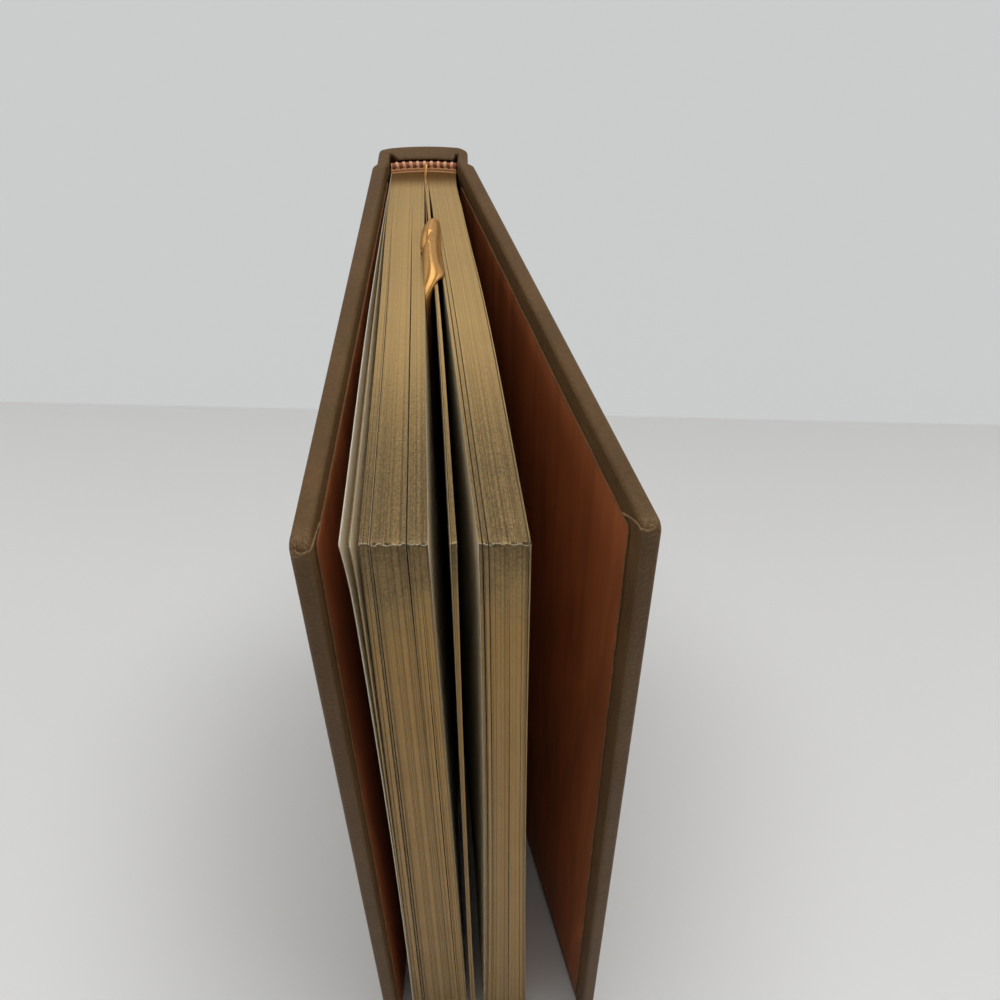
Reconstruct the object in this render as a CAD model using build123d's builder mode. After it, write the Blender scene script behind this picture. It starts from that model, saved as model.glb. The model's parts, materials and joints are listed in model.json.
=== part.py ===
from build123d import *
from math import sqrt
import os

# A leather-bound book that stands on its tail with both covers ajar.
# Millimetres. +Z is up, from tail to head. +Y runs from the fore edge to the spine.
# +X runs from the front cover to the back cover.
# The origin is on the table, in the middle of the spine's tail edge.

# Covers, each a board wrapped in leather
cover_height = 203.0
cover_width = 127.8
board_thickness = 2.05
front_opening_degrees = 1.15  # from shut
back_opening_degrees = 14.36
shut_spread = 24.4  # over both covers when the book is shut
corner_radius = 2.2
edge_radius = 0.9

# Leather and its turn-ins
leather = 0.65
turn_in = 15.0
mitre_width = 0.5
mitre_depth = 0.2

# Silk endpapers, pasted down inside the covers
pastedown = 0.4
front_pastedown_margin = 3.6  # turn-in left bare along three edges
back_pastedown_fore_margin = 5.2
back_pastedown_end_margin = 4.8
pastedown_joint_margin = 0.6
pastedown_corner = 0.8

# Spine, hollow behind its card inlay
spine_width = 21.8
spine_bow_radius = 41.0
spine_corner = 3.2
spine_crest = 1.95  # crest behind the origin
cap_round = 0.5
inlay = 1.75
inlay_width = 17.8
cap_slack = 0.2  # between the turned-in cap and the lined block
cap_side_slack = 0.4
lining = 0.4

# Joints, where the leather folds between spine and board
hinge_behind_crest = 9.45
hinge_below_face = 0.45
groove_radius = 1.05  # hollow of the leather round the hinge line
joint_clearance = 0.3  # between the folded leather and the board

# Book block of sewn leaves, fanned open at the fore edge
block_thickness = 16.0  # at the spine, with both flyleaves
block_depth = 132.5
square = 3.15  # cover beyond the block at head and tail
flyleaf = 0.3
fan_middle = 24.0
fan_fore = 30.5
front_bow = 0.65
front_shift = 0.9
flyleaf_gap_middle = 0.15
flyleaf_gap_fore = 0.35
fold_share = 0.05
middle_share = 0.466
# Each gap's two sides, as shares of the fan at the fold, the middle and the fore edge
gap_shares = (
    ((0.510, 0.484, 0.457), (0.540, 0.581, 0.573)),
    ((0.585, 0.610, 0.609), (0.610, 0.669, 0.725)),
)
# Each narrow split's place, as shares of the fan at the middle and the fore edge
split_shares = ((0.075, 0.111), (0.30, 0.304), (0.697, 0.753), (0.725, 0.784))
split_width = 0.3

# Headbands, silk wound on a cord
band_cord = 0.75
band_bead = 1.0
band_beads = 10
band_sides = 8  # flats round each roll
band_bead_share = 0.5  # of the pitch
band_braid = 0.6
band_tape = 0.4
band_tape_height = 10.0
band_setback = 1.6  # from the block's back to the cord

# Ribbon marker, humped over the head edge and hanging in the first gap
ribbon_width = 4.4
ribbon = 0.25
ribbon_start_share = 0.2
ribbon_hump_length = 30.0
ribbon_hump_rise = 1.6
ribbon_tail_width = 5.0
ribbon_tail_clearance = 12.0
ribbon_off_leaves = 0.1

overrun = 1.0  # cuts run past the faces by this much

# Worked out from the values above
cover_thickness = board_thickness + 2 * leather
outer_face = shut_spread / 2
hinge_x = outer_face - hinge_below_face
hinge_y = spine_crest - hinge_behind_crest
fold_radius = groove_radius + leather
hinge_to_board = fold_radius + joint_clearance
bow_centre = spine_crest - spine_bow_radius
inlay_radius = spine_bow_radius - leather
cap_radius = inlay_radius - inlay - leather
lining_radius = cap_radius - cap_slack
block_radius = lining_radius - lining
block_back = bow_centre + block_radius
block_fore = block_back - block_depth
block_tail = square
block_head = cover_height - square
block_height = block_head - block_tail
sewn_half = block_thickness / 2 - flyleaf
fold_y = block_back - block_depth * fold_share
middle_y = block_back - block_depth * middle_share
front_fold = -block_thickness / 2
front_middle = front_fold - front_bow
front_fore = front_fold + front_shift

os.makedirs("parts", exist_ok=True)


def bow_y(radius, x):
    """Height of the spine's bow at a distance x from its middle."""
    return bow_centre + sqrt(radius**2 - x**2)


def bow(radius, half):
    """An arc of the spine's bow, from -half to half."""
    crest = bow_centre + radius
    return ThreePointArc((-half, bow_y(radius, half)), (0, crest), (half, bow_y(radius, half)))


def spine_outline(half, radius, corner, low):
    """Plan of the spine's outline: two sides, two round corners and the bow."""
    with BuildSketch() as face:
        with BuildLine():
            bow(radius, half)
            Line((half, bow_y(radius, half)), (half, low))
            Line((half, low), (-half, low))
            Line((-half, low), (-half, bow_y(radius, half)))
        make_face()
        fillet(face.vertices().group_by(Axis.Y)[-1], corner)
    return face.sketch


def bow_band_face(outer, inner, half):
    """Plan of a strip that follows the spine's bow between two radii."""
    with BuildSketch() as face:
        with BuildLine():
            bow(outer, half)
            Line((half, bow_y(outer, half)), (half, bow_y(inner, half)))
            bow(inner, half)
            Line((-half, bow_y(inner, half)), (-half, bow_y(outer, half)))
        make_face()
    return face.sketch


def leaf_line(fold_x, middle_x, fore_x):
    """A leaf in plan, from its fold at the spine to the fore edge."""
    points = ((fold_x, fold_y), (middle_x, middle_y), (fore_x, block_fore))
    tangents = ((0, middle_y - fold_y), (fore_x - middle_x, block_fore - middle_y))
    return Spline(*points, tangents=tangents)


def fan_places(shares):
    """Places across the fan at the fold, the middle and the fore edge."""
    return (
        front_fold + block_thickness * shares[0],
        front_middle + fan_middle * shares[1],
        front_fore + fan_fore * shares[2],
    )


# Book block: one solid of leaves, its back bowed, its fore edge fanned and gaping
block_front = (
    front_fold + flyleaf,
    front_middle + flyleaf + flyleaf_gap_middle,
    front_fore + flyleaf + flyleaf_gap_fore,
)
block_rear = (
    front_fold + block_thickness - flyleaf,
    front_middle + fan_middle - flyleaf - flyleaf_gap_middle,
    front_fore + fan_fore - flyleaf - flyleaf_gap_fore,
)
with BuildPart() as text_block:
    with BuildSketch(Plane.XY.offset(block_tail)):
        with BuildLine():
            bow(block_radius, sewn_half)
            Line((sewn_half, bow_y(block_radius, sewn_half)), (sewn_half, fold_y))
            leaf_line(*block_rear)
            Line((block_rear[2], block_fore), (block_front[2], block_fore))
            leaf_line(*block_front)
            Line((-sewn_half, fold_y), (-sewn_half, bow_y(block_radius, sewn_half)))
        make_face()
        for near_shares, far_shares in gap_shares:
            near = fan_places(near_shares)
            far = fan_places(far_shares)
            with BuildLine():
                Line((near[0], fold_y), (far[0], fold_y))
                leaf_line(*far)
                Polyline(
                    (far[2], block_fore),
                    (far[2], block_fore - overrun),
                    (near[2], block_fore - overrun),
                    (near[2], block_fore),
                )
                leaf_line(*near)
            make_face(mode=Mode.SUBTRACT)
        for middle_split, fore_split in split_shares:
            tip_x = front_middle + fan_middle * middle_split
            mouth_x = front_fore + fan_fore * fore_split
            with BuildLine():
                Polyline(
                    (tip_x, middle_y),
                    (mouth_x + split_width / 2, block_fore),
                    (mouth_x + split_width / 2, block_fore - overrun),
                    (mouth_x - split_width / 2, block_fore - overrun),
                    (mouth_x - split_width / 2, block_fore),
                    close=True,
                )
            make_face(mode=Mode.SUBTRACT)
    extrude(amount=block_height)
text_block.part.label = "text_block"
export_step(text_block.part, "parts/text_block.step")


# Flyleaves, the free halves of the endpapers: flat on the sewn folds, then sprung off
back_y = bow_y(block_radius, sewn_half)
for name, side, edge_share in (("front", -1, 0), ("back", 1, 1)):
    outer = fan_places((edge_share, edge_share, edge_share))
    inner = tuple(place - side * flyleaf for place in outer)
    with BuildPart() as leaf:
        with BuildSketch(Plane.XY.offset(block_tail)):
            with BuildLine():
                Line((outer[0], back_y), (outer[0], fold_y))
                leaf_line(*outer)
                Line((outer[2], block_fore), (inner[2], block_fore))
                leaf_line(*inner)
                Line((inner[0], fold_y), (inner[0], back_y))
                Line((inner[0], back_y), (outer[0], back_y))
            make_face()
        extrude(amount=block_height)
    leaf.part.label = f"{name}_flyleaf"
    export_step(leaf.part, f"parts/{name}_flyleaf.step")

# Spine lining, glued to the back of the block between the headband tapes
with BuildPart() as spine_lining:
    with BuildSketch(Plane.XY.offset(block_tail + band_tape_height)):
        add(bow_band_face(lining_radius, block_radius, sewn_half))
    extrude(amount=block_height - 2 * band_tape_height)
spine_lining.part.label = "spine_lining"
export_step(spine_lining.part, "parts/spine_lining.step")

# Headbands at head and tail: silk beads on a cord, a braid in front, and a tape
# that is glued to the back of the block
cord_radius = block_radius - band_setback
bead_pitch = 2 * sewn_half / (band_beads - 1)
for name, seat, out in (("headband", block_head, 1), ("tailband", block_tail, -1)):
    cord_z = seat + out * band_bead
    braid_z = seat + out * band_braid
    rolls = ((band_cord, cord_radius, cord_z), (band_braid, cord_radius - band_bead, braid_z))
    with BuildPart() as band:
        with BuildSketch(Plane.XY.offset(seat)):
            add(bow_band_face(lining_radius, block_radius, sewn_half))
        extrude(amount=-out * band_tape_height)
        with BuildSketch(Plane.XY.offset(seat)):
            add(bow_band_face(lining_radius, cord_radius, sewn_half))
        extrude(amount=out * band_tape)
        for radius, path_radius, height in rolls:
            with BuildLine(Plane.XY.offset(height)) as route:
                bow(path_radius, sewn_half)
            with BuildSketch(Plane(route.line @ 0, z_dir=route.line % 0)):
                RegularPolygon(radius, side_count=band_sides)
            sweep(path=route.line)
        for bead in range(band_beads):
            x = -sewn_half + bead * bead_pitch
            y = bow_y(cord_radius, x)
            with BuildSketch(Plane((x, y, cord_z), z_dir=(y - bow_centre, -x, 0))):
                RegularPolygon(band_bead, side_count=band_sides)
            extrude(amount=bead_pitch * band_bead_share / 2, both=True)
    band.part.label = name
    export_step(band.part, f"parts/{name}.step")

# Card inlay that stiffens the spine, wrapped at head and tail by the leather
with BuildPart() as spine_inlay:
    with BuildSketch(Plane.XY.offset(leather)):
        add(bow_band_face(inlay_radius, inlay_radius - inlay, inlay_width / 2))
    extrude(amount=cover_height - 2 * leather)
spine_inlay.part.label = "spine_inlay"
export_step(spine_inlay.part, "parts/spine_inlay.step")

# Spine leather: a skin round the inlay, turned in over it as a cap at head and tail,
# that rolls round each hinge line as a groove beside the cover
skin_half = spine_width / 2
cap_half = block_thickness / 2 + cap_side_slack
with BuildPart() as spine_leather:
    with BuildSketch():
        add(spine_outline(skin_half, spine_bow_radius, spine_corner, hinge_y))
        inside = spine_corner - leather
        add(
            spine_outline(skin_half - leather, inlay_radius, inside, hinge_y - overrun),
            mode=Mode.SUBTRACT,
        )
    extrude(amount=cover_height)
    for cap_low in (0, cover_height - turn_in):
        with BuildSketch(Plane.XY.offset(cap_low)):
            add(spine_outline(skin_half, spine_bow_radius, spine_corner, hinge_y))
            add(
                spine_outline(cap_half, cap_radius, leather, hinge_y - overrun),
                mode=Mode.SUBTRACT,
            )
        extrude(amount=turn_in)
    ends = spine_leather.faces().filter_by(Axis.Z).group_by(Axis.Z)
    rims = ends[0].edges() + ends[-1].edges()
    fillet(rims.filter_by(lambda rim: rim.center().Y > hinge_y + leather), cap_round)
    add(spine_inlay.part, mode=Mode.SUBTRACT)
    with BuildSketch():
        with Locations((-hinge_x, hinge_y), (hinge_x, hinge_y)):
            Circle(groove_radius)
    extrude(amount=cover_height, mode=Mode.SUBTRACT)
    with BuildSketch():
        for side, start in ((-1, 270), (1, 180)):
            with BuildLine():
                hinge = (side * hinge_x, hinge_y)
                inner = CenterArc(hinge, groove_radius, start, 90)
                outer = CenterArc(hinge, fold_radius, start, 90)
                Line(inner @ 0, outer @ 0)
                Line(inner @ 1, outer @ 1)
            make_face()
    extrude(amount=cover_height)
spine_leather.part.label = "spine_leather"
export_step(spine_leather.part, "parts/spine_leather.step")

# Ribbon marker: a flat hump over the head edge, then a tail down the first gap
hump_back = block_back - block_depth * ribbon_start_share
hump_front = hump_back - ribbon_hump_length
hump_middle = (hump_back + hump_front) / 2
hump_low = block_head + ribbon_off_leaves
hump_share = (fold_y - hump_front) / (fold_y - middle_y)
gap_sides = [fan_places(shares) for shares in gap_shares[0]]
gap_fold = (gap_sides[0][0] + gap_sides[1][0]) / 2
gap_middle = (gap_sides[0][1] + gap_sides[1][1]) / 2
ribbon_x = gap_fold + (gap_middle - gap_fold) * hump_share - ribbon / 2
tail_low = block_tail + ribbon_tail_clearance
tail_back = hump_front + ribbon_tail_width
with BuildPart() as ribbon_marker:
    with BuildSketch(Plane.YZ.offset(ribbon_x)):
        with BuildLine():
            top = hump_low + ribbon_hump_rise
            ThreePointArc((hump_front, hump_low), (hump_middle, top), (hump_back, hump_low))
            Line((hump_back, hump_low), (hump_back, hump_low + ribbon))
            ThreePointArc(
                (hump_back, hump_low + ribbon),
                (hump_middle, top + ribbon),
                (hump_front, hump_low + ribbon),
            )
            Line((hump_front, hump_low + ribbon), (hump_front, hump_low))
        make_face()
    extrude(amount=ribbon_width)
    with BuildSketch(Plane.YZ.offset(ribbon_x)):
        with BuildLine():
            Polyline(
                (hump_front, hump_low + ribbon),
                (hump_front, tail_low),
                (tail_back, tail_low),
                (tail_back, hump_low + ribbon),
                close=True,
            )
        make_face()
    extrude(amount=ribbon)
ribbon_marker.part.label = "ribbon_marker"
export_step(ribbon_marker.part, "parts/ribbon_marker.step")

# Covers. Each has a frame with its origin on the hinge at mid height,
# x towards the fore edge and z out of the book.
face_out = hinge_below_face
face_in = face_out - cover_thickness
fore_edge = hinge_to_board + cover_width
from_joint = (Align.MIN, Align.CENTER)
front_margins = (front_pastedown_margin, front_pastedown_margin)
back_margins = (back_pastedown_fore_margin, back_pastedown_end_margin)
for name, side, opening, margins in (
    ("front", -1, front_opening_degrees, front_margins),
    ("back", 1, back_opening_degrees, back_margins),
):
    fore_margin, end_margin = margins
    toward_fore = Vector(0, -1, 0).rotate(Axis.Z, side * opening)
    outward = Vector(side, 0, 0).rotate(Axis.Z, side * opening)
    hinge = (side * hinge_x, hinge_y, cover_height / 2)
    frame = Plane(hinge, x_dir=toward_fore, z_dir=outward)

    # Board
    with BuildPart() as board:
        with BuildSketch(frame.offset(face_in + leather)) as plan:
            with Locations((hinge_to_board, 0)):
                Rectangle(cover_width - leather, cover_height - 2 * leather, align=from_joint)
            fillet(plan.vertices().group_by(Axis.X)[-1], corner_radius - leather)
        extrude(amount=board_thickness)
    board.part.label = f"{name}_board"
    export_step(board.part, f"parts/{name}_board.step")

    # Leather, wrapped over three edges, its turn-ins mitred at the corners
    with BuildPart() as wrap:
        with BuildSketch(frame.offset(face_in)) as plan:
            with Locations((hinge_to_board, 0)):
                Rectangle(cover_width, cover_height, align=from_joint)
            fillet(plan.vertices().group_by(Axis.X)[-1], corner_radius)
        extrude(amount=cover_thickness)
        across = wrap.faces().filter_by(Axis((0, 0, 0), outward))
        bent = across.edges().filter_by(
            lambda rim: frame.to_local_coords(rim.center()).X > hinge_to_board + leather
        )
        fillet(bent, edge_radius)
        add(board.part, mode=Mode.SUBTRACT)
        with BuildSketch(frame.offset(face_in)):
            with Locations((hinge_to_board, 0)):
                Rectangle(cover_width - turn_in, cover_height - 2 * turn_in, align=from_joint)
        extrude(amount=leather, mode=Mode.SUBTRACT)
        with BuildSketch(frame.offset(face_in)):
            for end in (-1, 1):
                with Locations(Location((fore_edge, end * cover_height / 2), end * -135)):
                    Rectangle(turn_in * sqrt(2) + overrun, mitre_width, align=from_joint)
        extrude(amount=mitre_depth, mode=Mode.SUBTRACT)
    wrap.part.label = f"{name}_leather"
    export_step(wrap.part, f"parts/{name}_leather.step")

    # Pastedown, which fills the space between the turn-ins and laps over them
    with BuildPart() as paper:
        start = hinge_to_board + pastedown_joint_margin
        with BuildSketch(frame.offset(face_in)):
            with Locations((start, 0)):
                length = cover_width - turn_in - pastedown_joint_margin
                Rectangle(length, cover_height - 2 * turn_in, align=from_joint)
        extrude(amount=leather)
        with BuildSketch(frame.offset(face_in)) as plan:
            with Locations((start, 0)):
                length = cover_width - fore_margin - pastedown_joint_margin
                Rectangle(length, cover_height - 2 * end_margin, align=from_joint)
            fillet(plan.vertices().group_by(Axis.X)[-1], pastedown_corner)
        extrude(amount=-pastedown)
    paper.part.label = f"{name}_pastedown"
    export_step(paper.part, f"parts/{name}_pastedown.step")
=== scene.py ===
import json
from math import atan2, cos, pi, radians, sin, sqrt

import bmesh
import bpy
import numpy as np
from mathutils import Matrix, Vector


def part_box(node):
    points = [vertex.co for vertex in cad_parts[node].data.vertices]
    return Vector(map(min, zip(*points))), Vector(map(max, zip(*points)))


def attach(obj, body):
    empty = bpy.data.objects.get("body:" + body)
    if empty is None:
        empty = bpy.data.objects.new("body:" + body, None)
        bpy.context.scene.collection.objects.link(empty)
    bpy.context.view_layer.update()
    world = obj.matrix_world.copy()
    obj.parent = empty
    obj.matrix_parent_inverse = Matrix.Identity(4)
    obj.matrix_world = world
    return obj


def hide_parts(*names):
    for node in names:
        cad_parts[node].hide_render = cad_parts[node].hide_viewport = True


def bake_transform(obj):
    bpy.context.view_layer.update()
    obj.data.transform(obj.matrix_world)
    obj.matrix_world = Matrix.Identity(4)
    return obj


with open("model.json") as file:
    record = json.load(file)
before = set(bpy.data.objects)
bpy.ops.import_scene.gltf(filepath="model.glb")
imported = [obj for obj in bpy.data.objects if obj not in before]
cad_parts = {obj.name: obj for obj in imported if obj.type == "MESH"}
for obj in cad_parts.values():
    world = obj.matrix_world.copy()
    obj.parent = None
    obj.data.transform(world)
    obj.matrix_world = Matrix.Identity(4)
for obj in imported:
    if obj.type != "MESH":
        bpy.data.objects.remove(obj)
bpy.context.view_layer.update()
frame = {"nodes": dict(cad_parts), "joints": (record.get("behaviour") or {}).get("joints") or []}  # a leather-bound book that stands on its tail, both covers ajar

# Book block: sewn gatherings of cream paper, rounded at the spine, trimmed on three
# sides and gilded in the press, so that the gold lies on the edges alone. The block
# stands fanned, and its leaves gape in two places.
MM = 0.001  # sizes are in millimetres, and make_piece turns them to metres
block_low, block_high = (np.array(corner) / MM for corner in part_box("text_block"))
spine_low, spine_high = (np.array(corner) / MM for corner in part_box("spine_leather"))
spine_bow = 41.0  # radius of the spine's outside, in plan
bow_centre = spine_high[1] - spine_bow
block_bow = block_high[1] - bow_centre
block_depth = block_high[1] - block_low[1]
block_half = 8.0  # half the block's thickness where it is sewn
# A leaf is placed where it is folded, near that fold, midway, and at the fore edge
fold_y = block_high[1] - 0.05 * block_depth
near_y = -25.3
middle_y = block_high[1] - 0.466 * block_depth
opened = (0.15, 0.75, 1)  # how far the gaps are open near the fold, midway and in front
heights = (block_high[2], 129.0, 24.0)  # where the fore edge's places are given
# The three groups of leaves. For each, its two sides at the fore edge, each at the
# three heights, then its two sides midway and near the fold, and its runs of leaves
# that lie together: how many, then the gap after them at the three heights
leaf_groups = (
    (
        ((-6.8, -6.3, -7.0), (6.83, 7.3, 8.05)),
        (-8.2, 2.96),
        (-8.17, 1.05),
        (
            (1, (1.22, 0.4, 0.1)),
            (1, (0.9, 0.45, 0.15)),
            (7, (0.12, 0.3, 0.35)),
            (1, (0.25, 0.35, 0.45)),
            (1, (0.06, 0.08, 0.05)),
            (26, (0, 0, 0)),
            (1, (0.32, 0.05, 0)),
            (8, (0, 0.2, 0.15)),
            (9, (0, 0, 0)),
        ),
    ),
    (
        ((10.42, 9.88, 9.26), (11.5, 10.73, 10.5)),
        (5.29, 6.0),
        (1.8, 2.45),
        ((1, (0.1, 0.06, 0)), (5, (0, 0, 0))),
    ),
    (
        ((14.95, 14.73, 13.3), (23.4, 23.5, 24.6)),
        (7.41, 15.35),
        (3.05, 10.03),
        (
            (3, (0.28, 0.25, 0.05)),
            (4, (0.22, 0.2, 0.1)),
            (18, (0, 0.22, 0.2)),
            (17, (0.26, 0.12, 0.05)),
            (1, (0, 0, 0)),
        ),
    ),
)


def linear(code):
    """A colour's sRGB hex code as a linear colour."""
    channels = [int(code[i:i + 2], 16) / 255 for i in (1, 3, 5)]
    return [c / 12.92 if c <= 0.04045 else ((c + 0.055) / 1.055) ** 2.4 for c in channels] + [1]


def put(tree, kind, settings=None, links=None):
    """Adds a node, sets its properties, and sets or links its sockets."""
    node = tree.nodes.new("ShaderNode" + kind)
    for name, value in (settings or {}).items():
        setattr(node, name, value)
    for name, value in (links or {}).items():
        socket = next(s for s in node.inputs if s.enabled and name in (s.name, s.identifier))
        if isinstance(value, bpy.types.Node):
            value = next(out for out in value.outputs if out.enabled)
        if isinstance(value, bpy.types.NodeSocket):
            tree.links.new(value, socket)
        else:
            socket.default_value = value
    return node


def mixed(tree, factor, first, second):
    """A colour between two, by a factor. Each is an sRGB hex code or a socket."""
    first, second = (linear(end) if isinstance(end, str) else end for end in (first, second))
    sockets = {"Factor": factor, "A": first, "B": second}
    return put(tree, "Mix", {"data_type": "RGBA"}, sockets).outputs[2]


def ranged(tree, value, start, end, low=0, high=1, **settings):
    """A value's range from start to end, stretched to the one from low to high."""
    sockets = {"Value": value, "From Min": start, "From Max": end, "To Min": low, "To Max": high}
    return put(tree, "MapRange", settings, sockets)


def reckon(tree, operation, *values):
    """A Math node on up to three values."""
    sockets = dict(zip(("Value", "Value_001", "Value_002"), values))
    return put(tree, "Math", {"operation": operation}, sockets)


def noise(tree, place, size, detail, **sockets):
    """Cloudy noise with forms of about a size in millimetres."""
    sockets = {"Vector": place, "Scale": 1 / (size * MM), "Detail": detail, **sockets}
    return put(tree, "TexNoise", links=sockets)


def emboss(tree, shader, *reliefs):
    """Reliefs on a surface, each a height with its strength and its depth in millimetres."""
    below = {}
    for height, strength, depth in reliefs:
        sockets = {"Height": height, "Strength": strength, "Distance": depth * MM, **below}
        below = {"Normal": put(tree, "Bump", links=sockets)}
    tree.links.new(below["Normal"].outputs[0], shader.inputs["Normal"])


def new_material(name, **sockets):
    """A material with its constant shader sockets set; returns it, its tree and shader."""
    material = bpy.data.materials.new(name)
    material.use_nodes = True
    shader = material.node_tree.nodes["Principled BSDF"]
    for socket, value in sockets.items():
        shader.inputs[socket.replace("_", " ")].default_value = value
    return material, material.node_tree, shader


def lattice_skin(shape):
    """Quads of the six outer faces of a lattice of points, and the face each is on."""
    index = np.arange(np.prod(shape)).reshape(shape)
    quads, faces = [], []
    for axis in range(3):
        for end in (0, -1):
            side = np.take(index, end, axis)
            quad = np.stack((side[:-1, :-1], side[1:, :-1], side[1:, 1:], side[:-1, 1:]), -1)
            quads.append(quad.reshape(-1, 4))
            faces.append(np.full(len(quads[-1]), 2 * axis - end))
    return np.concatenate(quads), np.concatenate(faces)


def make_piece(name, points, quads, materials, kinds=None, crease=38, wear=None):
    """A mesh from points in millimetres. kinds is each face's material, wear each point's."""
    points = np.asarray(points, float).reshape(-1, 3)
    used, compact = np.unique(np.asarray(quads), return_inverse=True)
    mesh = bpy.data.meshes.new(name)
    mesh.from_pydata((points[used] * MM).tolist(), [], compact.reshape(-1, 4).tolist())
    for material in materials:
        mesh.materials.append(material)
    if kinds is not None:
        mesh.polygons.foreach_set("material_index", np.asarray(kinds, np.int32))
    if wear is not None:
        rubbed = mesh.attributes.new("wear", "FLOAT", "POINT")
        rubbed.data.foreach_set("value", np.asarray(wear, np.float32).reshape(-1)[used])
    whole = bmesh.new()
    whole.from_mesh(mesh)
    bmesh.ops.recalc_face_normals(whole, faces=whole.faces)
    whole.to_mesh(mesh)
    whole.free()
    mesh.polygons.foreach_set("use_smooth", np.ones(len(mesh.polygons), bool))
    mesh.set_sharp_from_angle(angle=radians(crease))
    piece = bpy.data.objects.new(name, mesh)
    bpy.context.scene.collection.objects.link(piece)
    return piece


def over_height(places):
    """Places given at the three heights, as a smooth curve over every line of z."""
    return np.polyval(np.polyfit(heights, places, 2), z_lines)


def leaf_places(sides, runs, gap_share):
    """Left and right side of each leaf of a group, over z."""
    counts = [count for count, gap in runs]
    gaps = [np.maximum(over_height(gap), 0) * gap_share for count, gap in runs]
    pitch = (sides[1] - sides[0] - sum(gaps)) / sum(counts)
    places, x = [], sides[0]
    for count, gap in zip(counts, gaps):
        for leaf in range(count):
            places.append((x, x + pitch))
            x = x + pitch
        x = x + gap
    return np.array(places)


def bow_y(radius, x):
    """y of the spine's bow, of a given radius, at a distance x from its middle."""
    return bow_centre + np.sqrt(radius**2 - np.square(x))


rng = np.random.default_rng(5)
tail_z, head_z, fore_y = block_low[2], block_high[2], block_low[1]
# Lines up and along a leaf, closer together at its edges
z_lines = np.array([0, 0.5, 8, 25, 45, 65, 85, 105, 125, 145, 162, 176, 186, 192])
z_lines = np.concatenate((tail_z + z_lines, head_z - np.array([2.2, 1.1, 0.4, 0])))
y_lines = np.linspace(fold_y, fore_y, 25)[:-1]
y_lines = np.concatenate(([fold_y + 1], y_lines, fore_y + np.array([2.2, 1.1, 0.4, 0])))
knots = []
for fore_sides, middle_sides, near_sides, runs in leaf_groups:
    drift = over_height(np.mean(fore_sides, 0))
    drift = drift - drift[-1]
    knots.append([
        leaf_places([over_height(side) if share == 1 else side + share**2 * drift
                     for side in sides], runs, share)
        for sides, share in zip((near_sides, middle_sides, fore_sides), opened)
    ])
knots = np.concatenate(knots, 1)
leaf_count = knots.shape[1]
fold_x = np.linspace(-block_half, block_half, leaf_count + 1)
fold_x = np.stack((fold_x[:-1], fold_x[1:]), 1)[:, :, None]
knots = np.concatenate((np.broadcast_to(fold_x, knots[:1].shape), knots))

# Each leaf runs on one smooth line through its four places, its slope at each between
# the slopes before and after
knot_y = np.array([fold_y, near_y, middle_y, fore_y])
runs = -np.diff(knot_y)[:, None, None, None]
slopes = np.diff(knots, axis=0) / runs
between = (slopes[:-1] * runs[1:] + slopes[1:] * runs[:-1]) / (runs[1:] + runs[:-1])
slopes = np.concatenate((0 * slopes[:1], between, slopes[-1:]))
stretch = np.clip(np.searchsorted(-knot_y, -y_lines, "right") - 1, 0, 2)


def hermite(start, start_slope, end, end_slope, t, run):
    """A cubic between two places with their slopes, at the shares t of its run."""
    return (
        (2 * t**3 - 3 * t**2 + 1) * start
        + (t**3 - 2 * t**2 + t) * run * start_slope
        + (3 * t**2 - 2 * t**3) * end
        + (t**3 - t**2) * run * end_slope
    )


t = np.clip((knot_y[stretch] - y_lines)[:, None, None, None] / runs[stretch], 0, 1)
leaf_x = hermite(
    knots[stretch], slopes[stretch], knots[stretch + 1], slopes[stretch + 1], t, runs[stretch]
)
leaf_x = np.moveaxis(leaf_x, 0, 2)

# Air between the leaves: next to none, but now and then a leaf stands off. It widens
# toward the fore edge and closes again toward the head.
stands_off = rng.random((leaf_count, 1, 1)) < 0.3
air = np.where(stands_off, 0.6, 0.12) * rng.random((leaf_count, 1, 1))
toward_fore = ((fold_y - y_lines) / (fold_y - fore_y)).clip(0, 1)[:, None] ** 1.5
below_head = 1 - 0.8 * np.clip((z_lines - 150) / 45, 0, 1)
leaf_x[:, 1] -= (leaf_x[:, 1] - leaf_x[:, 0]) * air * toward_fore * below_head

# The first two leaves curl outward at the head, so that light falls on their inner faces
curl_height = 16
curled = np.clip((z_lines - head_z + curl_height) / curl_height, 0, 1) ** 2
for leaf, reach in ((0, 0.7), (1, 0.55)):
    leaf_x[leaf] -= reach * curled * toward_fore

# Their folds follow the bow of the back, and their trimmed edges aren't quite in line
leaf_y = np.broadcast_to(y_lines[:, None], leaf_x.shape).copy()
leaf_z = np.broadcast_to(z_lines, leaf_x.shape).copy()
leaf_y[:, :, 0] = bow_y(block_bow, fold_x[:, :, 0])[:, :, None]
leaf_waver = 0.05 * rng.random((leaf_count, 1))
leaf_y[:, :, -1] += leaf_waver[:, :, None]
leaf_z[:, :, :, -1] -= leaf_waver[:, :, None]

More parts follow.
